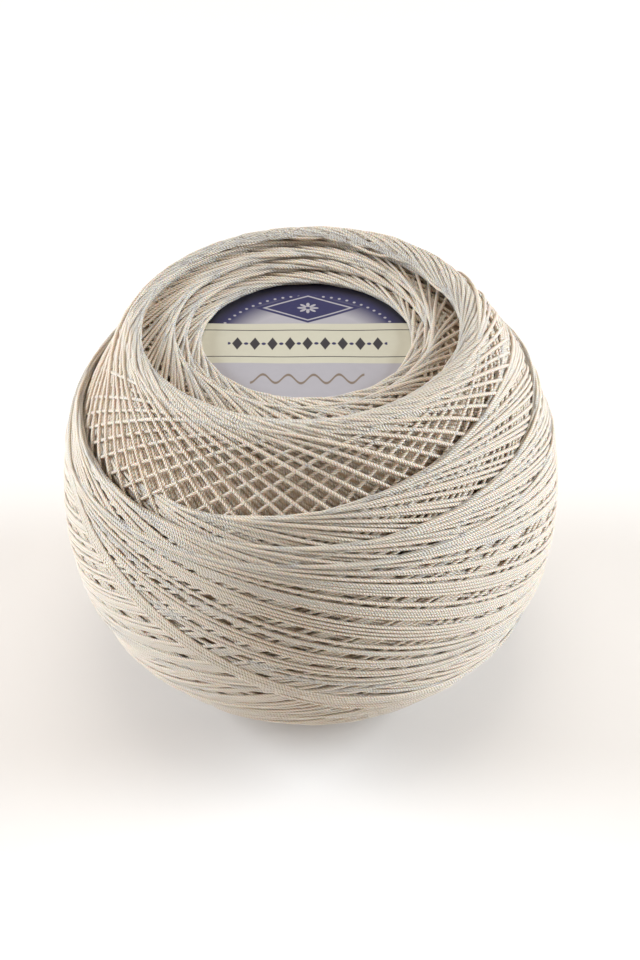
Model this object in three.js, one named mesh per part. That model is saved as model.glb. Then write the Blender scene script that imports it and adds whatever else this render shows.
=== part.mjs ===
// A machine cross-wound ball of crochet thread, with a round paper label in the hollow at its top.
// Millimetres, +Z up. The ball stands on the XY plane with its axis on Z, and the side seen in the
// photograph faces -Y. Heights below are counted from the ball's equator unless a name says otherwise.
import * as THREE from 'three';

const rad = THREE.MathUtils.degToRad;
const deg = THREE.MathUtils.radToDeg;
const { lerp, clamp } = THREE.MathUtils;

// Driving dimensions
const EQUATOR_HEIGHT = 27.8; // above the surface that the ball stands on
const COLUMNS = 90; // mesh columns, each of which follows one turn of thread
const RIDGE = 0.22; // every second column stands this far proud of the mean surface, the others under it
const LAYER_STEP = 0.4; // from one winding layer down to the next

// The rounded outline of the winding: (r / radius)^power + (height / rise)^power = 1
const OUTER_TOP = { radius: 35, rise: 37.3, power: 2.15 };
const OUTER_BOTTOM = { radius: 35, rise: 32.6, power: 2.08 };
const INNER_TOP = { radius: 31.1, rise: 31.9, power: 4 };
const CORE_DROP = 1; // how far the innermost visible winding lies under the outer one

// A layer of turns ends in a rim, where its turns run level. Degrees: latitude is the rim's mean,
// and the rim lies lower by tilt at the azimuth dipsTo and higher by tilt opposite to it.
const RIMS = {
  shoulder: { latitude: 49.5, tilt: 1.5, dipsTo: -135 },
  topMiddle: { latitude: 37.5, tilt: 9, dipsTo: -147 },
  topLast: { latitude: 28.5, tilt: 3.3, dipsTo: -130 },
  bottomLast: { latitude: -28, tilt: 2, dipsTo: -60 },
  bottomMiddle: { latitude: -38.5, tilt: 3, dipsTo: -60 },
  bottomShoulder: { latitude: -49, tilt: 0, dipsTo: 0 },
};

// The collars round the hollow, from its floor outwards: circles that lie a little off the ball's axis.
// turn is how far, in degrees, a column has slanted round the hollow by that circle.
const COLLARS = [
  { part: 'floor edge', radius: 16.6, height: 24, x: -0.4, y: 0.2, turn: 0, ridge: 0 },
  { part: 'pocket wall', radius: 16.6, height: 25.2, x: -0.4, y: 0.2, turn: 0, ridge: 0 },
  { part: 'lip, underside', radius: 14.7, height: 25.4, x: -0.4, y: 0.2, turn: 0, ridge: 0 },
  { part: 'lip, inner edge', radius: 14.1, height: 26, x: -0.4, y: 0.2, turn: 4, ridge: 0 },
  { part: 'lip, crest', radius: 14.8, height: 26.6, x: -0.6, y: 0.2, turn: 12, ridge: 0.5 },
  { part: 'second collar, foot', radius: 16.3, height: 25.8, x: -1.5, y: 0.2, turn: 28, ridge: 0.8 },
  { part: 'second collar, inner edge', radius: 16.7, height: 27, x: -1.6, y: 0.2, turn: 32, ridge: 0.3 },
  { part: 'second collar, crest', radius: 17.7, height: 27.4, x: -1.6, y: 0.1, turn: 48, ridge: 0.5 },
  { part: 'fan of turns', radius: 19.4, height: 26.2, x: -1.4, y: -0.4, turn: 60, ridge: 1 },
  { part: 'third collar, foot', radius: 20.9, height: 25.2, x: -1.2, y: -0.9, turn: 68, ridge: 1 },
  { part: 'third collar, wall', radius: 21.1, height: 27.6, x: -1.2, y: -1, turn: 70, ridge: 0.3 },
  { part: 'third collar, inner edge', radius: 21.6, height: 28.7, x: -1.2, y: -1, turn: 76, ridge: 0.3 },
  { part: 'third collar, crest', radius: 23, height: 29.2, x: -0.9, y: -0.8, turn: 90, ridge: 0.5 },
];

// The last turns wound lie side by side as a raised band that crosses the equator at this azimuth.
const LAST_BAND = { azimuth: -121, halfColumns: 2, raise: 0.75, fadeFrom: 50, fadeTo: 80 };

// The underside: a flat ring to stand on, and a shallow hollow inside it. Heights above the ground.
const UNDERSIDE = [
  { part: 'ring, outer edge', radius: 18, height: 0, ridge: 0 },
  { part: 'ring, inner edge', radius: 14, height: 0, ridge: 0 },
  { part: 'hollow, side', radius: 12.2, height: 1.4, ridge: 0 },
  { part: 'hollow, floor', radius: 7.5, height: 2.6, ridge: 0 },
];
const UNDERSIDE_CENTRE = 3;

const LABEL = { radius: 16.25, thickness: 0.45, clearance: 0.3, sides: 72 };

// Distance from the middle of the equator to the outline, in the direction of this latitude
function reach(outline, latitude) {
  const across = Math.cos(rad(latitude)) / outline.radius;
  const up = Math.abs(Math.sin(rad(latitude))) / outline.rise;
  return (across ** outline.power + up ** outline.power) ** (-1 / outline.power);
}

function outerReach(latitude) {
  return reach(latitude < 0 ? OUTER_BOTTOM : OUTER_TOP, latitude);
}

function coreReach(latitude) {
  const under = outerReach(latitude) - CORE_DROP;
  return latitude > 0 ? Math.min(under, reach(INNER_TOP, latitude)) : under;
}

function rimLatitude(rim, azimuth) {
  return rim.latitude - rim.tilt * Math.cos(rad(azimuth - rim.dipsTo));
}

function place(azimuth, latitude, distance) {
  const across = distance * Math.cos(rad(latitude));
  return new THREE.Vector3(
    across * Math.cos(rad(azimuth)),
    across * Math.sin(rad(azimuth)),
    EQUATOR_HEIGHT + distance * Math.sin(rad(latitude)),
  );
}

// How far round a great circle that just touches startLatitude has turned when it reaches latitude
function turned(startLatitude, latitude) {
  const ratio = Math.tan(rad(latitude)) / Math.tan(rad(startLatitude));
  return deg(Math.acos(clamp(ratio, -1, 1)));
}

// Each row of the mesh: where(azimuth, lift) gives a point, turn is the row's slant along the
// turns in degrees, and ridge and band scale the relief of the turns and of the last band.
const rows = [];

function addCircle({ radius, height, x = 0, y = 0, ridge }, turn, base) {
  rows.push({
    turn,
    ridge,
    band: 0,
    where: (azimuth, lift) => new THREE.Vector3(
      x + radius * Math.cos(rad(azimuth)),
      y + radius * Math.sin(rad(azimuth)),
      base + height + lift,
    ),
  });
}

function addRow(from, to, part, distanceAt, drop, turn, ridge = 1, band = 0) {
  rows.push({
    turn,
    ridge,
    band,
    where: (azimuth, lift) => {
      const latitude = lerp(rimLatitude(from, azimuth), rimLatitude(to, azimuth), part);
      return place(azimuth, latitude, distanceAt(latitude) - drop + lift);
    },
  });
}

// The layer between two rims. Its turns touch the rim `touched` and slant away from it.
function addLayer(from, to, touched, steps, distanceAt, drop, startTurn, slantSign) {
  const first = turned(touched.latitude, from.latitude);
  let turn = startTurn;
  for (let step = 0; step <= steps; step += 1) {
    const latitude = lerp(from.latitude, to.latitude, step / steps);
    turn = startTurn + slantSign * Math.abs(turned(touched.latitude, latitude) - first);
    addRow(from, to, step / steps, distanceAt, drop, turn);
  }
  return turn;
}

// The last layer runs from its upper rim over the equator to its lower rim.
function addLastLayer(from, to, startTurn) {
  const stepAngle = 10;
  const tilt = from.latitude;
  for (let along = 90; along >= -90; along -= stepAngle) {
    const latitude = deg(Math.asin(Math.sin(rad(tilt)) * Math.sin(rad(along))));
    const round = deg(Math.atan2(Math.cos(rad(tilt)) * Math.sin(rad(along)), Math.cos(rad(along))));
    const part = (tilt - latitude) / (2 * tilt);
    const fade = (LAST_BAND.fadeTo - Math.abs(along)) / (LAST_BAND.fadeTo - LAST_BAND.fadeFrom);
    const ridge = Math.abs(along) === 90 ? 0.4 : 1;
    addRow(from, to, part, outerReach, 0, startTurn + 90 - round, ridge, clamp(fade, 0, 1));
  }
  return startTurn + 180;
}

COLLARS.forEach((circle) => addCircle(circle, circle.turn, EQUATOR_HEIGHT));
let turn = COLLARS.at(-1).turn;
const middleReach = (latitude) => Math.max(outerReach(latitude) - LAYER_STEP, coreReach(latitude));
turn = addLayer(RIMS.shoulder, RIMS.topMiddle, RIMS.shoulder, 6, coreReach, 0, turn, 1);
turn = addLayer(RIMS.topMiddle, RIMS.topLast, RIMS.topMiddle, 4, middleReach, 0, turn, 1);
const lastLayerTurn = turn;
turn = addLastLayer(RIMS.topLast, RIMS.bottomLast, turn);
turn = addLayer(RIMS.bottomLast, RIMS.bottomMiddle, RIMS.bottomMiddle, 4, outerReach, LAYER_STEP, turn, -1);
turn = addLayer(RIMS.bottomMiddle, RIMS.bottomShoulder, RIMS.bottomShoulder, 4, coreReach, 0, turn, -1);
UNDERSIDE.forEach((circle) => addCircle(circle, turn, 0));

// The column that the last band is centred on, at the equator
const bandColumn = ((LAST_BAND.azimuth - lastLayerTurn - 90) / 360) * COLUMNS;

function bandLift(column) {
  const away = Math.abs(((column - bandColumn) % COLUMNS + 1.5 * COLUMNS) % COLUMNS - COLUMNS / 2);
  return LAST_BAND.raise * clamp(LAST_BAND.halfColumns + 0.5 - away, 0, 1);
}

function woundBall() {
  const positions = [];
  for (const row of rows) {
    for (let column = 0; column < COLUMNS; column += 1) {
      const azimuth = (column / COLUMNS) * 360 + row.turn;
      const ridge = row.ridge * (column % 2 ? RIDGE : -RIDGE);
      const point = row.where(azimuth, ridge + row.band * bandLift(column));
      positions.push(point.x, point.y, point.z);
    }
  }
  const floorCentre = positions.length / 3;
  positions.push(COLLARS[0].x, COLLARS[0].y, EQUATOR_HEIGHT + COLLARS[0].height);
  const undersideCentre = floorCentre + 1;
  positions.push(0, 0, UNDERSIDE_CENTRE);

  const faces = [];
  const corner = (row, column) => row * COLUMNS + (column % COLUMNS);
  for (let row = 0; row + 1 < rows.length; row += 1) {
    for (let column = 0; column < COLUMNS; column += 1) {
      const near = corner(row, column);
      const below = corner(row + 1, column);
      const beyond = corner(row + 1, column + 1);
      const beside = corner(row, column + 1);
      if (rows[row + 1].turn > rows[row].turn) {
        faces.push(near, below, beside, below, beyond, beside);
      } else {
        faces.push(near, below, beyond, near, beyond, beside);
      }
    }
  }
  for (let column = 0; column < COLUMNS; column += 1) {
    faces.push(floorCentre, corner(0, column), corner(0, column + 1));
    faces.push(undersideCentre, corner(rows.length - 1, column + 1), corner(rows.length - 1, column));
  }

  const geometry = new THREE.BufferGeometry();
  geometry.setAttribute('position', new THREE.Float32BufferAttribute(positions, 3));
  geometry.setIndex(faces);
  geometry.computeVertexNormals();
  return geometry;
}

function labelDisc() {
  const geometry = new THREE.CylinderGeometry(LABEL.radius, LABEL.radius, LABEL.thickness, LABEL.sides);
  geometry.rotateX(Math.PI / 2);
  return geometry;
}

const threadMaterial = new THREE.MeshStandardMaterial({ color: 0xd9cfbd, roughness: 0.7, metalness: 0 });
const labelMaterial = new THREE.MeshStandardMaterial({ color: 0xcfcdd6, roughness: 0.5, metalness: 0 });

const threadBall = new THREE.Mesh(woundBall(), threadMaterial);
threadBall.name = 'thread_ball';

const label = new THREE.Mesh(labelDisc(), labelMaterial);
label.name = 'label_disc';
label.position.set(
  COLLARS[0].x,
  COLLARS[0].y,
  EQUATOR_HEIGHT + COLLARS[0].height + LABEL.clearance + LABEL.thickness / 2,
);

const ball = new THREE.Group();
ball.add(threadBall, label);

export default ball;
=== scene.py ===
import math

import bpy
import numpy as np
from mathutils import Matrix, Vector


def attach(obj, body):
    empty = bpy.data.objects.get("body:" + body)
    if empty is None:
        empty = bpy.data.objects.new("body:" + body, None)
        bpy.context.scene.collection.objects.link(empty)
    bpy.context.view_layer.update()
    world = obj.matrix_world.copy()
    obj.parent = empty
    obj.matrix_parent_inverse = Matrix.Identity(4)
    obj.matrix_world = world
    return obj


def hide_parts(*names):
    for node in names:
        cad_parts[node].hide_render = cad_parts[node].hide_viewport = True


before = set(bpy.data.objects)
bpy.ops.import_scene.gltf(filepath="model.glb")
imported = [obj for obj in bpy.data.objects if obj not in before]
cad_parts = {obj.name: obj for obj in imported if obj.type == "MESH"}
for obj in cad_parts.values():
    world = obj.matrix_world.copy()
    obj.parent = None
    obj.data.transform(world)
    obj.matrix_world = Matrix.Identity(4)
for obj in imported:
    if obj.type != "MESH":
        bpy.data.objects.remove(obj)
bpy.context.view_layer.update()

# Millimetres and degrees from here on, with heights counted from the ball's equator.
# Azimuth 0 is +X, and -90 is the side that faces the camera.
MM = 0.001
EQUATOR = 27.8  # height of the equator above the floor
FLOOR = -EQUATOR
THREAD_WIDTH = 0.53
THREAD_HEIGHT = 0.45
THREAD_SIDES = 6
CROSSING = 0.3  # how far a thread dips where it passes under another
PLY_PITCH = 0.44  # from one ply to the next along the thread
PLIES = 3

# The rounded outline of the winding: radius, rise and power, as in the part's solid
OUTER_TOP = (35.25, 37.5, 2.15)
OUTER_BOTTOM = (35.25, 32.75, 2.08)
CREST = 29.3  # height of the flat crest round the hollow
CREST_BLEND = 0.15  # how softly the outline turns into the crest
LATTICE_DEPTH = 1.25  # from the outline down to the winding between the upper rims

rng = np.random.default_rng(20)
rad = np.radians


# Shape of the ball

def reach(outline, latitude):
    """Distance from the middle of the equator to the outline, for latitudes in radians."""
    radius, rise, power = outline
    across = np.cos(latitude) / radius
    up = np.abs(np.sin(latitude)) / rise
    return (across ** power + up ** power) ** (-1 / power)


def outer_reach(latitude):
    return np.where(latitude < 0, reach(OUTER_BOTTOM, latitude), reach(OUTER_TOP, latitude))


def smoothstep(low, high, value):
    x = np.clip((value - low) / (high - low), 0, 1)
    return x * x * (3 - 2 * x)


def inner_reach(latitude):
    """The winding that shows between the two upper rims: a shallow dip, then a flat crest."""
    dipped = outer_reach(latitude) - LATTICE_DEPTH * smoothstep(rad(46), rad(37), latitude)
    crest = CREST / np.sin(np.maximum(latitude, 0.3))
    return -CREST_BLEND * np.logaddexp(-dipped / CREST_BLEND, -crest / CREST_BLEND)


def halving_order(n):
    """The fractions 0, 1/2, 1/4, 3/4, 1/8, ... by which neighbours lie at well-spread heights."""
    share = 0.0
    part = 0.5
    while n:
        share += part * (n & 1)
        n >>= 1
        part /= 2
    return share


def leaned_axis(lean):
    """Direction of the ball's axis once it leans by some degrees towards an azimuth."""
    tip = rad(lean[0])
    azimuth = rad(lean[1])
    return np.array([math.sin(tip) * math.cos(azimuth), math.sin(tip) * math.sin(azimuth), math.cos(tip)])


def lean_vector(lean):
    """Rotation vector that leans the ball's axis by some degrees towards an azimuth."""
    angle = rad(lean[0])
    azimuth = rad(lean[1])
    return np.array([-math.sin(azimuth), math.cos(azimuth), 0.0]) * angle


def rotate(vectors, spins):
    """Turns each vector about its own rotation vector."""
    angle = np.linalg.norm(spins, axis=1, keepdims=True) + 1e-12
    axis = spins / angle
    cross = np.cross(axis, vectors)
    along = (axis * vectors).sum(1, keepdims=True)
    return vectors * np.cos(angle) + cross * np.sin(angle) + axis * along * (1 - np.cos(angle))


def unit(vectors):
    return vectors / np.linalg.norm(vectors, axis=1, keepdims=True)


def covered(path, slopes, leans):
    """Share, 0 to 1, by which a layer with these rims lies over each point of a path."""
    outside = 0.6
    inside = 1.6
    share = 1.0
    for lean, rim, sign in ((leans[0], slopes[0], -1), (leans[1], slopes[1], 1)):
        latitude = np.degrees(np.arcsin(np.clip(path @ leaned_axis(lean), -1, 1)))
        share = share * smoothstep(rim + outside, rim - inside, latitude * sign)
    return share


# Threads as tubes, with a map of their twist and a map to bake on

RING = np.arange(THREAD_SIDES) * 2 * math.pi / THREAD_SIDES  # angles round a thread
GIRTH = math.pi * (THREAD_WIDTH + THREAD_HEIGHT) / 2
STRIP_GAP = 0.5  # between the unrolled threads on the bake map
ROW_HEIGHT = GIRTH + 0.25
CAP_PITCH = 0.6
CAP_RADIUS = 0.2
CAP_MARGIN = 0.4
MAP_GROWTH = 1.01


def tube_rings(points, outward):
    """Rings of points round a centre line, wide along the ball's surface and flat across it."""
    tangent = unit(np.gradient(points, axis=0))
    side = unit(np.cross(outward, tangent))
    up = np.cross(tangent, side)
    across = side[:, None] * (np.cos(RING) * THREAD_WIDTH / 2)[None, :, None]
    rise = up[:, None] * (np.sin(RING) * THREAD_HEIGHT / 2)[None, :, None]
    return points[:, None] + across + rise


def unrolled(length):
    """Length along the thread and share round it, 0 to 1, at the four corners of each of its quads."""
    shape = (len(length) - 1, THREAD_SIDES)
    start = np.broadcast_to(length[:-1, None], shape)
    end = np.broadcast_to(length[1:, None], shape)
    left = np.broadcast_to(np.arange(THREAD_SIDES) / THREAD_SIDES, shape)
    right = left + 1 / THREAD_SIDES
    return np.stack([start, left, start, right, end, right, end, left], -1).reshape(-1, 4, 2)


def bake_map(starts, lengths, around, run, cap_count):
    """Places all quads and caps on a square map: the unrolled threads follow each other in rows."""
    longest = lengths.max()
    square = math.sqrt(run * ROW_HEIGHT) * MAP_GROWTH + longest * 1.5
    usable = square - longest * 1.05
    cap_rows = math.ceil(cap_count * CAP_PITCH / usable)
    while (math.ceil(run / usable) + 1 + cap_rows) * ROW_HEIGHT > square:
        square *= MAP_GROWTH
        usable = square - longest * 1.05
    row = np.floor(starts / usable)
    quad_map = np.empty((len(starts), 4, 2))
    for corner, along in enumerate((0, 0, 1, 1)):
        quad_map[:, corner, 0] = starts - row * usable + along * lengths
        quad_map[:, corner, 1] = row * ROW_HEIGHT + around[:, corner] * GIRTH
    n = np.arange(cap_count)
    per_row = int(usable / CAP_PITCH)
    cap_x = (n % per_row) * CAP_PITCH + CAP_PITCH / 2
    cap_y = (row.max() + 1 + n // per_row) * ROW_HEIGHT + CAP_MARGIN
    cap_map = np.empty((cap_count, THREAD_SIDES, 2))
    cap_map[..., 0] = cap_x[:, None] + CAP_RADIUS * np.cos(RING)
    cap_map[..., 1] = cap_y[:, None] + CAP_RADIUS * np.sin(RING)
    return quad_map / square, cap_map / square


class Threads:
    """Collects thread centre lines and turns them into one mesh of tubes."""

    def __init__(self, name):
        self.name = name
        self.paths = []

    def add(self, points, outward, tone):
        self.paths.append((points, outward, tone))

    def build(self, material):
        """Makes the mesh: quads along every thread, and a flat cap at each of its ends."""
        verts = []
        quads = []
        caps = []
        twist = []
        starts = []
        lengths = []
        tones = []
        first = 0
        run = 0.0
        side = np.arange(THREAD_SIDES)
        for points, outward, tone in self.paths:
            count = len(points)
            verts.append(tube_rings(points, outward).reshape(-1, 3))
            tones.append(np.full(count * THREAD_SIDES, tone))
            step = np.linalg.norm(np.diff(points, axis=0), axis=1)
            length = np.concatenate([[0], np.cumsum(step)])
            ring = first + np.arange(count - 1)[:, None] * THREAD_SIDES
            near = ring + side
            beside = ring + (side + 1) % THREAD_SIDES
            corners = [near, beside, beside + THREAD_SIDES, near + THREAD_SIDES]
            quads.append(np.stack(corners, -1).reshape(-1, 4))
            twist.append(unrolled(length))
            starts.append(np.repeat(run + length[:-1], THREAD_SIDES))
            lengths.append(np.repeat(step, THREAD_SIDES))
            run += length[-1] + STRIP_GAP
            caps.append(first + side[::-1])
            caps.append(first + (count - 1) * THREAD_SIDES + side)
            first += count * THREAD_SIDES
        twist = np.concatenate(twist)
        quad_bake, cap_bake = bake_map(np.concatenate(starts), np.concatenate(lengths), twist[..., 1],
                                       run, len(caps))
        twist[..., 0] /= PLY_PITCH
        cap_twist = np.broadcast_to(np.stack([RING * 0, RING / (2 * math.pi)], -1), cap_bake.shape)
        maps = {"Twist": (twist, cap_twist), "OFBake": (quad_bake, cap_bake)}
        mesh = self.mesh(np.concatenate(verts), np.concatenate(quads), np.array(caps), maps)
        tone = mesh.attributes.new("Tone", "FLOAT", "POINT")
        tone.data.foreach_set("value", np.concatenate(tones).astype(np.float32))
        mesh.update(calc_edges=True)
        mesh.validate()
        mesh.materials.append(material)
        piece = bpy.data.objects.new(self.name, mesh)
        bpy.context.scene.collection.objects.link(piece)
        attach(piece, "root")

    def mesh(self, verts, quads, caps, maps):
        """An unlinked mesh of these faces. maps: name of each UV map, with its quads and its caps."""
        verts[:, 2] += EQUATOR
        loops = np.concatenate([quads.ravel(), caps.ravel()])
        sizes = np.array([4] * len(quads) + [THREAD_SIDES] * len(caps))
        mesh = bpy.data.meshes.new(self.name)
        mesh.vertices.add(len(verts))
        mesh.vertices.foreach_set("co", (verts * MM).astype(np.float32).ravel())
        mesh.loops.add(len(loops))
        mesh.loops.foreach_set("vertex_index", loops.astype(np.int32))
        mesh.polygons.add(len(sizes))
        mesh.polygons.foreach_set("loop_start", (np.cumsum(sizes) - sizes).astype(np.int32))
        mesh.polygons.foreach_set("use_smooth", sizes == 4)
        for name, (quad_uv, cap_uv) in maps.items():
            layer = mesh.uv_layers.new(name=name)
            flat = np.concatenate([quad_uv.reshape(-1), cap_uv.reshape(-1)])
            layer.uv.foreach_set("vector", flat.astype(np.float32))
        return mesh


# Layers of turns, each a great circle that goes round the ball

LOWEST = -math.pi / 2  # angle along a turn of its lowest point, with 0 where it climbs through the equator
HIGHEST = math.pi / 2
NEXT_LOWEST = 1.5 * math.pi
DIP_HALF = 0.05  # angle over which a turn dips under the seam, or passes from climbing to falling
CLOSEST = 0.018  # smallest angle between two points
CLOSE_RIM = (0.7, 0.97)  # sine of the angle along a turn from which the turns pile up at the rims
WOBBLE = 0.25  # degrees by which the turns lean at random
UNEVENNESS = 0.03  # spread of their heights
SEAM_SOFT = 0.04


def pressed(points, under):
    """Keeps the threads on or above the floor, the ones under others a little higher."""
    lowest = FLOOR + THREAD_HEIGHT / 2 + under
    soft = 0.12
    points[:, 2] = lowest + soft * np.logaddexp(0, (points[:, 2] - lowest) / soft)
    return points


def places_on_turn(seam_meets, samples):
    """Angles along a turn, closer together where it changes height."""
    whole = np.linspace(LOWEST, NEXT_LOWEST, samples + 1)
    extra = [LOWEST + DIP_HALF, HIGHEST - DIP_HALF, HIGHEST + DIP_HALF, NEXT_LOWEST - DIP_HALF]
    for half_turns in (-1, 0, 1, 2):
        crossing = seam_meets + half_turns * math.pi
        if LOWEST < crossing < NEXT_LOWEST:
            extra += [crossing - DIP_HALF, crossing, crossing + DIP_HALF]
    places = np.concatenate([whole, extra])
    places = np.sort(places[(places >= LOWEST) & (places <= NEXT_LOWEST)])
    places = places[np.concatenate([[True], np.diff(places) > CLOSEST])]
    places[-1] = NEXT_LOWEST
    return places


def arcs_of_turn(places, slopes, limits):
    """The parts of a turn past the (top, bottom) latitudes. The lower one runs across the turn's ends."""
    lift = np.sin(places)
    high = lift > math.sin(rad(limits[0])) / math.sin(rad(slopes[1]))
    low = -lift > math.sin(rad(limits[1])) / math.sin(rad(slopes[0]))
    before = places[low & (places > HIGHEST)]
    after = places[low & (places < 0)][1:] + 2 * math.pi
    return [places[high], np.concatenate([before, after])]


def between(values, i, share):
    return values[i] + (values[i + 1] - values[i]) * share


def great_circle(span, angle, azimuth):
    """Directions along a turn of this slope that climbs through the equator at this azimuth."""
    flat = unit(np.stack([np.cos(span), np.cos(angle) * np.sin(span), np.sin(angle) * np.sin(span)], 1))
    c = np.cos(azimuth)
    s = np.sin(azimuth)
    return np.stack([flat[:, 0] * c - flat[:, 1] * s, flat[:, 0] * s + flat[:, 1] * c, flat[:, 2]], 1)


def layer_turns(threads, slopes, start, steps, leans, depth, surface, arcs=None, samples=72, seam=None,
                pile=0.5):
    """Winds a layer of great circles that step round the ball's axis.

    slopes: (bottom, top) slope of the turns, which is also the latitude of their rims.
    start: azimuth where the first turn climbs through the equator; steps: degrees between turns.
    leans: (bottom, top) lean of the axis. surface(latitude): distance to the surface. depth: how far
    under it, a number or a function of the directions from the middle of the ball.
    arcs: None for whole turns, else (top, bottom) latitudes past which a turn is built.
    seam: (azimuth where it climbs through the equator, slope) of the layer's last turn. The threads
    that fall lie on top above its plane, and the ones that climb below it. Without it, all lie on top.
    pile: spread of the turns' heights at the rims, where they lie closer than their own width.
    """
    count = len(steps)
    climb = rad(start + np.concatenate([[0], np.cumsum(steps)]))
    tilt = rad(rng.normal(0, WOBBLE, (count + 1, 2)))
    tilt = np.hstack([tilt, np.zeros((count + 1, 1))])
    heights = rng.normal(0, UNEVENNESS, count + 1)
    tones = rng.uniform(0, 1, count + 1)
    low_lean = lean_vector(leans[0])
    high_lean = lean_vector(leans[1])
    slope = rad((slopes[0] + slopes[1]) / 2)
    seam_climb = rad(seam[0] if seam else start)
    seam_slope = rad(seam[1]) if seam else slope
    normal = np.array([math.sin(seam_slope) * math.sin(seam_climb),
                       -math.sin(seam_slope) * math.cos(seam_climb),
                       math.cos(seam_slope)])
    pieces = []
    for i in range(count):
        at_equator = np.array([math.cos(climb[i]), math.sin(climb[i]), 0])
        at_top = np.array([-math.sin(climb[i]) * math.cos(slope), math.cos(climb[i]) * math.cos(slope),
                           math.sin(slope)])
        seam_meets = math.atan2(normal @ at_top, normal @ at_equator) + math.pi / 2
        places = places_on_turn(seam_meets, samples)
        spans = arcs_of_turn(places, slopes, arcs) if arcs else [places]
        for span in spans:
            share = (span - LOWEST) / (2 * math.pi)
            high = smoothstep(-0.7, 0.7, np.sin(span))  # 0 at the lower rim and 1 at the upper one
            angle = rad(slopes[0] + (slopes[1] - slopes[0]) * high)
            path = great_circle(span, angle, between(climb, i, share))
            under = np.zeros_like(span)
            if seam:
                falling = np.tanh(-np.cos(span) / SEAM_SOFT)
                under = CROSSING * (1 - falling * np.tanh(path @ normal / SEAM_SOFT)) / 2
            spin = low_lean + (high_lean - low_lean) * high[:, None]
            path = rotate(path, spin + between(tilt, i, np.clip(share, 0, 1)[:, None]))
            latitude = np.arcsin(np.clip(path[:, 2], -1, 1))
            at_rim = smoothstep(*CLOSE_RIM, np.abs(np.sin(span)))
            height = between(heights, i, share) + pile * (0.5 - halving_order(i + 1)) * at_rim
            sink = depth(path) if callable(depth) else depth
            radius = surface(latitude) - THREAD_HEIGHT / 2 - sink - under + height
            pieces.append((pressed(path * radius[:, None], under), path, tones[i]))
    if arcs:
        for piece in pieces:
            threads.add(*piece)
        return
    points = np.concatenate([piece[0][:-1] for piece in pieces])
    outward = np.concatenate([piece[1][:-1] for piece in pieces])
    tuck = [1.2, 0.6, 0.2]  # both ends of the thread slip under the winding
    sinking = np.zeros(len(points))
    sinking[:3] = tuck
    sinking[-3:] = tuck[::-1]
    threads.add(points - outward * sinking[:, None], outward, 0.5)


def spaced(total, groups, inside, gap, spread=0.25):
    """Steps between turns that lie in groups: inside a group, and over the gap after it, in degrees."""
    steps = []
    while sum(steps) < total:
        size = rng.choice(groups)
        steps += list(inside * rng.uniform(0.93, 1.07, size - 1))
        steps.append(gap * rng.uniform(1 - spread, 1 + spread))
    steps = np.array(steps)
    return steps * total / steps.sum()


# Turns round the hollow and under the ball

TANGENT_SAMPLES = 13
TANGENT_NEAR = 0.6  # extra points this far to both sides of where a turn touches its circle
TANGENT_PACKING = 1.2  # how much closer the points lie towards a turn's ends
TANGENT_JITTER = 0.2  # random share of the way to the next turn
SLOPE_STEP = 0.2  # length over which a profile's slope is taken
CROSSOVER = 1.5  # length over which a turn passes from under its neighbours to over them
PILE_FADE = (0.3, 0.8)  # shares of a turn's half length over which its pile fades


def tangent_turns(threads, centre, radii, profile, ends, count, drop, spread, over=True, crowd=0.0,
                  pile=0.0, raised=(0.0, 0.0), climb=0.0):
    """Straight-lying turns that touch a circle, as turns do near the ball's poles.

    radii: of the circle that the uppermost and the lowest level touch. profile: (distance from the
    centre, height) pairs that the turns follow. ends: how far out the turns of each level reach, the
    uppermost first. drop: from one level to the next. spread: how far off its circle a turn may lie.
    over: whether a turn lies over its neighbours along half its length. crowd: how much closer they lie
    on the -X side. pile: spread of their heights where they touch the circle.
    raised: (azimuth, amount) by which the circle is higher on one side and lower on the other.
    climb: how much a turn rises for each millimetre along it.
    """
    at, up = np.array(profile, float).T
    high_x = math.cos(rad(raised[0])) * raised[1]
    high_y = math.sin(rad(raised[0])) * raised[1]
    levels = len(ends)
    for level, end in enumerate(ends):
        level_radius = radii[0] + (radii[1] - radii[0]) * level / max(1, levels - 1)
        for n in range(count):
            angle = 2 * math.pi * (n + rng.uniform(-TANGENT_JITTER, TANGENT_JITTER) + level / levels) / count
            angle += crowd * math.sin(angle)
            near = level_radius + spread * rng.uniform() ** 2
            limit = math.sqrt(max(end ** 2 - near ** 2, 1))
            packed = np.linspace(-TANGENT_PACKING, TANGENT_PACKING, TANGENT_SAMPLES)
            s = limit * np.sin(packed) / math.sin(TANGENT_PACKING)
            s = np.sort(np.concatenate([s, [-TANGENT_NEAR, TANGENT_NEAR]]))
            far = np.hypot(near, s)
            x = near * math.cos(angle) - s * math.sin(angle)
            y = near * math.sin(angle) + s * math.cos(angle)
            height = np.interp(far, at, up) + climb * s + (high_x * x + high_y * y) / far
            slope = np.interp(far + SLOPE_STEP, at, up) - np.interp(far - SLOPE_STEP, at, up)
            slope = slope / (2 * SLOPE_STEP)
            side = np.tanh(s / CROSSOVER) if over else -np.ones_like(s)
            under = CROSSING * (1 - side) / 2 + level * drop
            fade = 1 - smoothstep(*PILE_FADE, np.abs(s) / limit)
            under = under + pile * halving_order(n + 1) * fade
            outward = unit(np.stack([-slope * x / far, -slope * y / far, np.ones_like(x)], 1))
            points = np.stack([centre[0] + x, centre[1] + y, height], 1)
            points = points - outward * (THREAD_HEIGHT / 2 + under)[:, None]
            threads.add(points, outward, rng.uniform(0, 1))


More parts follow.
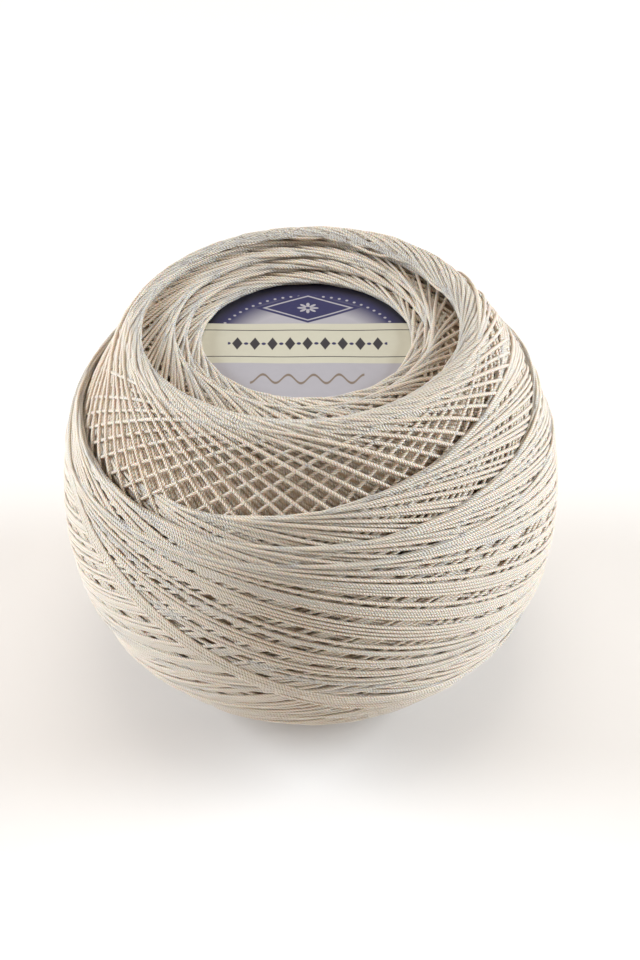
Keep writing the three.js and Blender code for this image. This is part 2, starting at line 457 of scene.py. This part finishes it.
def underside_turns(threads, radii, profile, ends, count, drop, spread):
    """The same turns as round the upper hollow, turned upside down, with heights above the floor."""
    upright = Threads("upright")
    tangent_turns(upright, (0, 0), radii, [(far, -h) for far, h in profile], ends, count, drop, spread)
    flip = np.array([1, 1, -1])
    for points, outward, tone in upright.paths:
        points = points * flip
        points[:, 2] = np.maximum(points[:, 2] + FLOOR, FLOOR + THREAD_HEIGHT / 2)
        threads.add(points, outward * flip, tone)


# Materials

# How the painted shade in the ply grooves fades towards the crests of the plies
GROOVE_SHADE_POWER = 0.8
PATCH_SHARE = 0.28  # how far the colour drifts from place to place
PATCH_TINT = (0.86, 0.80, 0.72)
TONE_SHARE = 0.14  # how far it differs from turn to turn
TONE_TINT = 0.8
FIBRE_RELIEF = 0.25


def new_material(name):
    material = bpy.data.materials.new(name)
    material.use_nodes = True
    tree = material.node_tree
    tree.nodes.clear()
    out = tree.nodes.new("ShaderNodeOutputMaterial")
    shader = tree.nodes.new("ShaderNodeBsdfPrincipled")
    tree.links.new(shader.outputs[0], out.inputs[0])
    return material, tree, shader


def maths(tree, operation, a, b=None):
    node = tree.nodes.new("ShaderNodeMath")
    node.operation = operation
    for socket, value in zip(node.inputs, (a, b)):
        if value is None:
            continue
        if isinstance(value, (int, float)):
            socket.default_value = value
        else:
            tree.links.new(value, socket)
    return node.outputs[0]


def mix(tree, factor, a, b, blend="MIX"):
    node = tree.nodes.new("ShaderNodeMix")
    node.data_type = "RGBA"
    node.blend_type = blend
    for socket, value in ((node.inputs["Factor"], factor), (node.inputs[6], a), (node.inputs[7], b)):
        if isinstance(value, (int, float)):
            socket.default_value = value
        elif isinstance(value, tuple):
            socket.default_value = (*value, 1)
        else:
            tree.links.new(value, socket)
    return node.outputs[2]


def noise(tree, vector, scale, detail):
    node = tree.nodes.new("ShaderNodeTexNoise")
    node.inputs["Scale"].default_value = scale
    node.inputs["Detail"].default_value = detail
    tree.links.new(vector, node.inputs["Vector"])
    return node.outputs["Fac"]


def object_place(tree):
    return tree.nodes.new("ShaderNodeTexCoord").outputs["Object"]


def add_bump(tree, shader, height, strength, distance):
    bump = tree.nodes.new("ShaderNodeBump")
    bump.inputs["Strength"].default_value = strength
    bump.inputs["Distance"].default_value = distance
    tree.links.new(height, bump.inputs["Height"])
    tree.links.new(bump.outputs[0], shader.inputs["Normal"])


def thread_material(name, light, dark):
    """Twisted cotton: rounded plies with narrow grooves darkened by painted shade, fine fibres and a silky
    shine.
    """
    material, tree, shader = new_material(name)
    twist = tree.nodes.new("ShaderNodeUVMap")
    twist.uv_map = "Twist"
    split = tree.nodes.new("ShaderNodeSeparateXYZ")
    tree.links.new(twist.outputs[0], split.inputs[0])
    round_thread = maths(tree, "MULTIPLY", split.outputs[1], float(PLIES))
    phase = maths(tree, "SUBTRACT", round_thread, split.outputs[0])
    lobe = maths(tree, "ABSOLUTE", maths(tree, "SINE", maths(tree, "MULTIPLY", phase, math.pi)))

    # Painted shade: the ply grooves take the dark colour and the crests the light one
    base = mix(tree, maths(tree, "POWER", lobe, GROOVE_SHADE_POWER), dark, light)
    patch = noise(tree, object_place(tree), scale=120, detail=3)
    warm_tint = tuple(x * y for x, y in zip(light, PATCH_TINT))
    warm = mix(tree, maths(tree, "MULTIPLY", patch, PATCH_SHARE), base, warm_tint)
    tone = tree.nodes.new("ShaderNodeAttribute")
    tone.attribute_name = "Tone"
    tone_factor = maths(tree, "MULTIPLY", tone.outputs["Fac"], TONE_SHARE)
    colour = mix(tree, tone_factor, warm, tuple(x * TONE_TINT for x in light))
    tree.links.new(colour, shader.inputs["Base Color"])
    shader.inputs["Roughness"].default_value = 0.37
    shader.inputs["Specular IOR Level"].default_value = 0.52
    shader.inputs["Subsurface Weight"].default_value = 0.45
    shader.inputs["Subsurface Radius"].default_value = (1.0, 0.62, 0.38)
    shader.inputs["Subsurface Scale"].default_value = 0.0006
    shader.inputs["Sheen Weight"].default_value = 0.12
    shader.inputs["Sheen Roughness"].default_value = 0.4

    fibre_scale = tree.nodes.new("ShaderNodeMapping")
    fibre_scale.inputs["Scale"].default_value = (3.0, 14.0, 1.0)
    tree.links.new(twist.outputs[0], fibre_scale.inputs["Vector"])
    fibre = noise(tree, fibre_scale.outputs[0], scale=1, detail=2)
    height = maths(tree, "ADD", lobe, maths(tree, "MULTIPLY", fibre, FIBRE_RELIEF))
    add_bump(tree, shader, height, strength=1, distance=0.00011)
    return material


def core_material():
    """Wound thread deep between the turns, seen only through the gaps, with painted shade: darker and
    browner than the thread's own colour, darkest between its stripes of turns.
    """
    material, tree, shader = new_material("wound_core")
    turn = tree.nodes.new("ShaderNodeMapping")
    turn.inputs["Rotation"].default_value = (0.6, 0, 0)
    tree.links.new(object_place(tree), turn.inputs["Vector"])
    wave = tree.nodes.new("ShaderNodeTexWave")
    wave.bands_direction = "Z"
    wave.inputs["Scale"].default_value = 300
    wave.inputs["Distortion"].default_value = 1.5
    tree.links.new(turn.outputs[0], wave.inputs["Vector"])
    # Painted shade: both colours are darker and browner than the thread, the darker one between the turns
    colour = mix(tree, wave.outputs["Fac"], (0.66, 0.52, 0.38), (0.80, 0.67, 0.52))
    tree.links.new(colour, shader.inputs["Base Color"])
    shader.inputs["Roughness"].default_value = 0.9
    add_bump(tree, shader, wave.outputs["Fac"], strength=1, distance=0.0001)
    return material


# The second colour is the painted shade in the ply grooves
thread = thread_material("ecru_cotton", (0.87, 0.78, 0.69), (0.62, 0.495, 0.365))


# The winding, from the outside in

# Slope of each layer's turns and lean of its axis, both as (lower rim, upper rim)
UPRIGHT = ((0, 0), (0, 0))
LAST_SLOPE = (17.5, 17.5)
LAST_LEAN = ((4.5, 105), (4.5, 105))
WIDE_SLOPE = (28.0, 28.5)
WIDE_LEAN = ((2, 120), (3.3, -130))
MIDDLE_SLOPE = (38.5, 37.5)
MIDDLE_LEAN = ((3, 120), (9, -147))
LATTICE_SLOPE = (50, 50)
INNER_SLOPE = (52, 52.4)
HIGH_LEAN = ((2.05, -168), (2.05, -168))
HIGH_AXIS = leaned_axis(HIGH_LEAN[1])
HIDDEN_SIDE = leaned_axis((62, -168))  # where the lattice hides the middle layer's rim
LIP_LATITUDE = 51.0  # past it, the winding turns down into the hollow

# The slanting bands of the turns wound last of all: slopes, azimuth of the climb, turns and rise
BANDS = (((24, 24.5), 62, 4, 0.22), ((28, 23.5), 60, 2, 0.1))


def wide_depth(path):
    """The layer lies deeper where the last one covers it."""
    return 0.15 + 0.4 * covered(path, LAST_SLOPE, LAST_LEAN)


def middle_depth(path):
    """The layer lies deeper where the one over it covers it, and on the side where it is hidden."""
    hidden = smoothstep(0.74, 0.88, path @ HIDDEN_SIDE)
    return 0.5 + 0.55 * covered(path, WIDE_SLOPE, WIDE_LEAN) + 1.5 * hidden


def lip_drop(path):
    """How far the winding has turned down into the hollow at its upper rim."""
    latitude = np.degrees(np.arcsin(path @ HIGH_AXIS))
    return 0.8 * np.clip((latitude - LIP_LATITUDE) / 1.5, 0, 2) ** 2


def inner_depth(path):
    """The close winding lies under the lattice, and level with it near the lip."""
    return lip_drop(path) + 1.1 * smoothstep(0.77, 0.69, path @ HIGH_AXIS)


bands = Threads("winding_bands")
for slopes, climb, count, rise in BANDS:
    steps = -rng.uniform(2.1, 2.6, count)
    layer_turns(bands, slopes, climb, steps, UPRIGHT, -rise, outer_reach, pile=0.3)
bands.build(thread)

# The full layer under the bands: turns in small groups with narrow gaps between them
last_layer = Threads("winding_last")
layer_turns(last_layer, LAST_SLOPE, start=60, steps=-spaced(360, [2, 3, 4, 5], inside=2.75, gap=10.5),
            leans=LAST_LEAN, depth=0.0, surface=outer_reach, seam=(58, 24))
last_layer.build(thread)

# The layer before it, which shows above and below its rims
wide_layer = Threads("winding_wide")
layer_turns(wide_layer, WIDE_SLOPE, start=52, steps=-spaced(360, [1, 2, 3, 4], inside=2.4, gap=6.8),
            leans=WIDE_LEAN, depth=wide_depth, surface=outer_reach, seam=(52, 28), samples=64)
wide_layer.build(thread)

# A still earlier one, whose rim shows above the others
middle_layer = Threads("winding_middle")
layer_turns(middle_layer, MIDDLE_SLOPE, start=40, steps=-spaced(360, [1, 2, 3], inside=2.4, gap=4.6),
            leans=MIDDLE_LEAN, depth=middle_depth, surface=outer_reach, seam=(40, 38), samples=64)
middle_layer.build(thread)

# The open lattice of single turns between the upper rims, and the close winding under it
lattice = Threads("winding_lattice")
layer_turns(lattice, LATTICE_SLOPE, start=10, steps=-spaced(360, [1], inside=1, gap=6.5, spread=0.12),
            leans=HIGH_LEAN, depth=lip_drop, surface=inner_reach, arcs=(22, 30), seam=(10, 50))
lattice.build(thread)
inner_layer = Threads("winding_inner")
layer_turns(inner_layer, INNER_SLOPE, start=14, steps=-spaced(360, [2, 3, 4, 5], inside=2.0, gap=3.0),
            leans=HIGH_LEAN, depth=inner_depth, surface=inner_reach, arcs=(24, 32), seam=(14, 52.4),
            pile=0.4)
inner_layer.build(thread)

# Collars round the hollow, each with its (distance, height) profile
WALL = [(20.5, 27.4), (22.3, 28.1), (23.5, 28.2)]
THIRD = [(16.9, 27.1), (17.3, 27.35), (18.0, 27.55), (19.0, 27.3), (20.0, 26.8), (21.5, 26.3), (24.3, 25.7)]
SECOND = [(15.4, 25.9), (15.9, 26.3), (16.6, 26.6), (17.5, 26.4), (18.5, 26.0), (20.0, 25.6)]
FIRST = [(13.8, 25.6), (14.2, 25.95), (14.9, 26.3), (15.6, 26.25), (16.5, 26.0), (18, 25.7), (22, 25.2)]
collars = Threads("hollow_collars")
tangent_turns(collars, centre=(-1.3, -0.4), radii=(22.1, 21.7), profile=WALL, ends=[23.0] * 7,
              count=30, drop=0.46, spread=0.45, over=False, climb=0.07)
tangent_turns(collars, centre=(-1.1, 1.0), radii=(17.2, 17.4), profile=THIRD, ends=[22.8, 20.5, 19.4],
              count=72, drop=0.4, spread=0.9, crowd=0.4, pile=0.4, raised=(110, 0.55))
tangent_turns(collars, centre=(-0.6, 0.8), radii=(16.0, 16.2), profile=SECOND, ends=[18.4, 17.8],
              count=60, drop=0.42, spread=0.7, crowd=0.3, pile=0.4, raised=(100, 0.45), climb=0.02)
tangent_turns(collars, centre=(-0.5, 0.45), radii=(14.15, 14.4), profile=FIRST, ends=[19.0, 16.2, 15.8],
              count=66, drop=0.4, spread=0.6, crowd=0.3, pile=0.35, raised=(-90, 0.25))
collars.build(thread)

# Underside: the ring that the ball stands on, and the shallow hollow inside it
STANDING_RING = [(14, 0.0), (17.9, 0.0), (18.6, 0.5), (20.3, 2.0), (22, 3.6), (24, 5.4)]
LOWER_HOLLOW = [(0, 3.1), (7.5, 2.6), (12.2, 1.3), (13.5, 0.6), (16, 0.5)]
underside = Threads("winding_base")
underside_turns(underside, radii=(14.3, 17.2), profile=STANDING_RING, ends=[22.5] * 4,
                count=40, drop=0.05, spread=0.8)
underside_turns(underside, radii=(12.0, 2.0), profile=LOWER_HOLLOW, ends=[15.5] * 6,
                count=26, drop=0.0, spread=1.6)
underside.build(thread)


# The closed body of wound thread under the turns, so that nothing shows through the gaps

CORE_HOLLOW = [(0.0, 23.9), (14.8, 23.9), (17.0, 24.5), (18.5, 24.9), (21.6, 25.1), (22.6, 25.6),
               (23.6, 26.7), (24.4, 27.0)]
CORE_FOOT = [(20.5, 3.2), (18.5, 1.9), (14.0, 1.9), (12.0, 3.6), (0.0, 4.6)]  # heights above the floor
CORE_DEPTH = 1.35  # under the lattice and the turns above the equator
CORE_FOOT_DEPTH = 1.6  # under the turns at the foot of the ball
CORE_COLUMNS = 96


def core_profile():
    """(radius, height) pairs from the middle of the upper hollow down to the middle of the lower one."""
    profile = list(CORE_HOLLOW)
    for latitude in rad(np.arange(46, -46.1, -4)):
        sunk = LATTICE_DEPTH + CORE_DEPTH * smoothstep(rad(10), rad(20), latitude)
        sunk += CORE_FOOT_DEPTH * smoothstep(rad(-29), rad(-36), latitude)
        under_lattice = latitude > rad(28)
        distance = inner_reach(latitude) - CORE_DEPTH if under_lattice else outer_reach(latitude) - sunk
        profile.append((float(distance) * math.cos(latitude), float(distance) * math.sin(latitude)))
    return profile + [(radius, FLOOR + height) for radius, height in CORE_FOOT]


def winding_core():
    profile = core_profile()
    verts = []
    for radius, height in profile[1:-1]:
        for n in range(CORE_COLUMNS):
            a = 2 * math.pi * n / CORE_COLUMNS
            verts.append((radius * math.cos(a), radius * math.sin(a), height))
    top = len(verts)
    bottom = top + 1
    verts += [(0, 0, profile[0][1]), (0, 0, profile[-1][1])]
    last_ring = top - CORE_COLUMNS
    faces = []
    for ring in range(0, last_ring, CORE_COLUMNS):
        below = ring + CORE_COLUMNS
        for n in range(CORE_COLUMNS):
            m = (n + 1) % CORE_COLUMNS
            faces.append((ring + n, below + n, below + m, ring + m))
    for n in range(CORE_COLUMNS):
        m = (n + 1) % CORE_COLUMNS
        faces.append((top, n, m))
        faces.append((bottom, last_ring + m, last_ring + n))
    mesh = bpy.data.meshes.new("winding_core")
    mesh.from_pydata([(x * MM, y * MM, (z + EQUATOR) * MM) for x, y, z in verts], [], faces)
    mesh.shade_smooth()
    mesh.materials.append(core_material())
    body = bpy.data.objects.new("winding_core", mesh)
    bpy.context.scene.collection.objects.link(body)
    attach(body, "root")
    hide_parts("thread_ball")


winding_core()


# The paper label

LABEL_CENTRE = (-0.4, 0.2)
LABEL_RADIUS = 16.2
LABEL_TOP = 24.74
LABEL_UNDERSIDE = 24.34
LABEL_RINGS = 20
LABEL_COLUMNS = 96
LABEL_WAVE = 0.07
LABEL_RIPPLE = 0.04
RIPPLE_RATE = 0.55  # radians for each millimetre

# Bake map of the label: its two faces side by side, and its edge as a strip over them
UPPER_MAP_X = 0.25
LOWER_MAP_X = 0.75
FACE_MAP_Y = 0.25
FACE_MAP_RADIUS = 0.23
EDGE_MAP_START = (0.02, 0.6)
EDGE_MAP_SIZE = (0.96, 0.02)

# Colours of the print
NAVY = (0.035, 0.036, 0.11)
DEEP_NAVY = (0.010, 0.009, 0.02)
PALE = (0.44, 0.43, 0.47)
CREAM = (0.60, 0.585, 0.48)
INK = (0.045, 0.043, 0.05)
BROWN = (0.23, 0.18, 0.14)

# Places and sizes of the print, counted from the label's centre
BAND_TOP = 5.0
BAND_FOOT = -4.4
BAND_LINES = (3.4, -2.9)
BAND_LINE_HALF = 0.09
DIAMOND_ROW = 0.2
DIAMOND_PITCH = 2.4
DIAMOND_HALF = (0.72, 1.5)
DIAMONDS_END = 10.9
DOT_RADIUS = 0.3
CRESCENT_CENTRE = -1.2
CRESCENT_FROM = 11.2
CRESCENT_DEEPENS = 14.2
BEAD_RING = 13.1
BEAD_PITCH = 1.15
BEAD_RADIUS = 0.2
LOZENGE_CENTRE = 8.9
LOZENGE_HALF = (7.4, 3.7)
LOZENGE_FRAME = (0.78, 0.86)  # shares of its size
PETALS = 8
PETAL_LENGTH = 1.15
PETAL_FOOT = 0.35
FLOWER_SQUASH = 1.15
FLOWER_EYE = 0.34
WAVE_CENTRE = -8.0
WAVE_PITCH = 3.4
WAVE_HEIGHT = 0.95
WAVE_LINE_HALF = 0.27
WAVE_END = 7.65


class Field:
    """A number that a tree of shader nodes works out, so that formulas read as formulas."""

    def __init__(self, tree, socket):
        self.tree = tree
        self.socket = socket

    def apply(self, operation, other=None):
        b = other.socket if isinstance(other, Field) else other
        return Field(self.tree, maths(self.tree, operation, self.socket, b))

    def __add__(self, other):
        return self.apply("ADD", other)

    def __sub__(self, other):
        return self.apply("SUBTRACT", other)

    def __mul__(self, other):
        return self.apply("MULTIPLY", other)

    def size(self):
        return self.apply("ABSOLUTE")

    def past(self, edge, soft=0.08):
        """0 below the edge and 1 above it, with a soft step between."""
        return ((self - edge) * (1 / soft) + 0.5).apply("MINIMUM", 1.0).apply("MAXIMUM", 0.0)

    def under(self, edge, soft=0.08):
        return (self * -1.0).past(-edge, soft)

    def repeat(self, pitch):
        """Distance to the nearest of evenly spaced places."""
        return ((self * (1 / pitch) + 0.5).apply("FRACT") - 0.5).size() * pitch


def length(a, b):
    return (a * a + b * b).apply("SQRT")


def paint(base, field, colour):
    """Colour laid over the base, which is a colour or a socket, as far as the field says."""
    return mix(field.tree, field.socket, base, colour)


def paint_crescent(colour, x, y, above_band):
    """A dark crescent along the upper edge, with a row of pale beads."""
    rise = y - CRESCENT_CENTRE
    rim = length(x, rise)
    colour = paint(colour, rim.past(CRESCENT_FROM, soft=3.4) * above_band, NAVY)
    colour = paint(colour, rim.past(CRESCENT_DEEPENS, soft=1.6) * above_band, DEEP_NAVY)
    around = rise.apply("ARCTAN2", x) * BEAD_RING
    bead = length(around.repeat(BEAD_PITCH), rim - BEAD_RING)
    return paint(colour, bead.under(BEAD_RADIUS, soft=0.12) * above_band, PALE)


def paint_lozenge(colour, x, y, above_band):
    """A dark lozenge with a pale frame and a flower."""
    rise = y - LOZENGE_CENTRE
    slant = x.size() * (1 / LOZENGE_HALF[0]) + rise.size() * (1 / LOZENGE_HALF[1])
    colour = paint(colour, slant.under(1.0, soft=0.02) * above_band, NAVY)
    edging = slant.past(LOZENGE_FRAME[0], soft=0.02) * slant.under(LOZENGE_FRAME[1], soft=0.02)
    colour = paint(colour, edging, PALE)
    tall = rise * FLOWER_SQUASH
    petal = (tall.apply("ARCTAN2", x) * (PETALS / 2)).apply("COSINE").size()
    petal = petal * PETAL_LENGTH + PETAL_FOOT
    colour = paint(colour, (length(x, tall) - petal).under(0.0, soft=0.12), PALE)
    return paint(colour, length(x, tall).under(FLOWER_EYE), NAVY)


def paint_band(colour, x, y, above_band):
    """A cream band with two thin lines, and a row of diamonds with dots between them."""
    band = (above_band * -1.0 + 1.0) * y.past(BAND_FOOT)
    colour = paint(colour, band, CREAM)
    for line in BAND_LINES:
        colour = paint(colour, (y - line).size().under(BAND_LINE_HALF) * band, INK)
    within = x.size().under(DIAMONDS_END, soft=0.05) * band
    rise = y - DIAMOND_ROW
    diamond = x.repeat(DIAMOND_PITCH) * (1 / DIAMOND_HALF[0]) + rise.size() * (1 / DIAMOND_HALF[1])
    colour = paint(colour, diamond.under(1.0, soft=0.09) * within, INK)
    dot = length((x + DIAMOND_PITCH / 2).repeat(DIAMOND_PITCH), rise)
    return paint(colour, dot.under(DOT_RADIUS, soft=0.1) * within, NAVY)


def paint_wave(colour, x, y):
    """A waved line below the band."""
    swing = (x * (2 * math.pi / WAVE_PITCH)).apply("SINE") * WAVE_HEIGHT
    away = (y - WAVE_CENTRE - swing).size()
    return paint(colour, away.under(WAVE_LINE_HALF, soft=0.12) * x.size().under(WAVE_END, soft=0.1), BROWN)


def label_material():
    """Printed paper with a plain generic design."""
    material, tree, shader = new_material("label_paper")
    place = object_place(tree)
    split = tree.nodes.new("ShaderNodeSeparateXYZ")
    tree.links.new(place, split.inputs[0])
    x = Field(tree, split.outputs[0]) * (1 / MM) - LABEL_CENTRE[0]
    y = Field(tree, split.outputs[1]) * (1 / MM) - LABEL_CENTRE[1]
    above_band = y.past(BAND_TOP)
    colour = paint_crescent(PALE, x, y, above_band)
    colour = paint_lozenge(colour, x, y, above_band)
    colour = paint_band(colour, x, y, above_band)
    colour = paint_wave(colour, x, y)
    grain = noise(tree, place, scale=900, detail=3)
    aged = mix(tree, grain, (0.93, 0.93, 0.93), (1.0, 1.0, 1.0))
    tree.links.new(mix(tree, 1, colour, aged, "MULTIPLY"), shader.inputs["Base Color"])
    shader.inputs["Roughness"].default_value = 0.42
    shader.inputs["Specular IOR Level"].default_value = 0.4
    add_bump(tree, shader, grain, strength=0.5, distance=0.00003)
    return material


def label_points(level, map_x):
    """Rings of points round the centre of a sheet that waves a little, and their places on the bake map."""
    points = [(*LABEL_CENTRE, level)]
    flat = [(map_x, FACE_MAP_Y)]
    for ring in range(1, LABEL_RINGS + 1):
        radius = LABEL_RADIUS * ring / LABEL_RINGS
        share = radius / LABEL_RADIUS
        for n in range(LABEL_COLUMNS):
            a = 2 * math.pi * n / LABEL_COLUMNS
            wave = LABEL_WAVE * math.sin(2 * a + 0.7) * share ** 2
            ripple = LABEL_RIPPLE * math.sin(RIPPLE_RATE * radius * math.cos(a - 0.5) + 1)
            points.append((LABEL_CENTRE[0] + radius * math.cos(a), LABEL_CENTRE[1] + radius * math.sin(a),
                           level + wave + ripple))
            flat.append((map_x + FACE_MAP_RADIUS * share * math.cos(a),
                         FACE_MAP_Y + FACE_MAP_RADIUS * share * math.sin(a)))
    return points, flat


def paper_label():
    """A thin round sheet: an upper face, a lower face and the edge between them."""
    verts = []
    faces = []
    flat = []
    for side, level, map_x in ((1, LABEL_TOP, UPPER_MAP_X), (-1, LABEL_UNDERSIDE, LOWER_MAP_X)):
        start = len(verts)
        points, places = label_points(level, map_x)
        verts += points
        flat += places
        for n in range(LABEL_COLUMNS):
            m = (n + 1) % LABEL_COLUMNS
            faces.append((start, start + 1 + n, start + 1 + m)[::side])
            for ring in range(LABEL_RINGS - 1):
                a = start + 1 + ring * LABEL_COLUMNS
                b = a + LABEL_COLUMNS
                faces.append((a + n, b + n, b + m, a + m)[::side])
    edge_start = len(faces)
    upper = 1 + (LABEL_RINGS - 1) * LABEL_COLUMNS
    lower = len(verts) - LABEL_COLUMNS
    for n in range(LABEL_COLUMNS):
        m = (n + 1) % LABEL_COLUMNS
        faces.append((upper + n, lower + n, lower + m, upper + m))
    mesh = bpy.data.meshes.new("paper_label")
    mesh.from_pydata([(x * MM, y * MM, (z + EQUATOR) * MM) for x, y, z in verts], [], faces)
    layer = mesh.uv_layers.new(name="OFBake")
    for polygon in mesh.polygons:
        n = polygon.index - edge_start
        for k, loop in enumerate(polygon.loop_indices):
            if n < 0:
                layer.uv[loop].vector = flat[mesh.loops[loop].vertex_index]
            else:
                along = (n + (k in (2, 3))) / LABEL_COLUMNS
                across = k in (1, 2)
                layer.uv[loop].vector = (EDGE_MAP_START[0] + EDGE_MAP_SIZE[0] * along,
                                         EDGE_MAP_START[1] + EDGE_MAP_SIZE[1] * across)
    mesh.shade_smooth()
    mesh.materials.append(label_material())
    piece = bpy.data.objects.new("paper_label", mesh)
    bpy.context.scene.collection.objects.link(piece)
    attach(piece, "root")
    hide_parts("label_disc")


paper_label()


# Floor, light and camera, in metres

scene = bpy.context.scene
FLOOR_HALF = 3
LAMP_AIM = (0, 0, 0.03)


def pale_floor():
    corners = [(-FLOOR_HALF, -FLOOR_HALF, 0), (FLOOR_HALF, -FLOOR_HALF, 0),
               (FLOOR_HALF, FLOOR_HALF, 0), (-FLOOR_HALF, FLOOR_HALF, 0)]
    material, tree, shader = new_material("pale_floor")
    shader.inputs["Base Color"].default_value = (0.88, 0.865, 0.85, 1)
    shader.inputs["Roughness"].default_value = 0.9
    mesh = bpy.data.meshes.new("floor")
    mesh.from_pydata(corners, [], [(0, 1, 2, 3)])
    mesh.materials.append(material)
    floor = bpy.data.objects.new("floor", mesh)
    scene.collection.objects.link(floor)


def softbox(name, place, size, power, colour):
    data = bpy.data.lights.new(name, "AREA")
    data.shape = "DISK"
    data.size = size
    data.energy = power
    data.color = colour
    lamp = bpy.data.objects.new(name, data)
    lamp.location = place
    lamp.rotation_euler = (Vector(LAMP_AIM) - Vector(place)).to_track_quat("-Z", "Y").to_euler()
    scene.collection.objects.link(lamp)


pale_floor()
softbox("soft_left", (-0.62, 0.04, 0.26), 0.4, 5.3, (0.88, 0.94, 1.0))
softbox("soft_right", (0.62, 0.04, 0.26), 0.4, 5.6, (0.86, 0.935, 1.0))
softbox("soft_top", (0.0, 0.1, 0.8), 0.5, 1.6, (1.0, 0.925, 0.84))

world = bpy.data.worlds.new("studio")
world.use_nodes = True
world.node_tree.nodes["Background"].inputs["Color"].default_value = (1.0, 0.835, 0.675, 1)
world.node_tree.nodes["Background"].inputs["Strength"].default_value = 0.32
scene.world = world

# The photograph's camera: it looks down on the ball, whose middle is at CENTRE_PIXEL
ELEVATION = math.radians(38.5)
DISTANCE = 0.315
PIXELS_PER_METRE = 6970.0
PHOTO_WIDTH = 640
PHOTO_HEIGHT = 960
CENTRE_PIXEL = (311.0, 486.8)
SENSOR = 36
back = Vector((0, -math.cos(ELEVATION), math.sin(ELEVATION)))
right = Vector((1, 0, 0))
upward = back.cross(right)
target = (Vector((0, 0, EQUATOR * MM)) + right * (PHOTO_WIDTH / 2 - CENTRE_PIXEL[0]) / PIXELS_PER_METRE
          + upward * (CENTRE_PIXEL[1] - PHOTO_HEIGHT / 2) / PIXELS_PER_METRE)
camera = bpy.data.cameras.new("camera")
camera.sensor_fit = "VERTICAL"
camera.sensor_height = SENSOR
camera.lens = PIXELS_PER_METRE * DISTANCE / PHOTO_HEIGHT * SENSOR
camera.clip_start = 0.01
camera.clip_end = 20
viewer = bpy.data.objects.new("camera", camera)
viewer.location = target + back * DISTANCE
viewer.rotation_euler = (-back).to_track_quat("-Z", "Y").to_euler()
scene.collection.objects.link(viewer)
scene.camera = viewer
scene.view_settings.view_transform = "Standard"
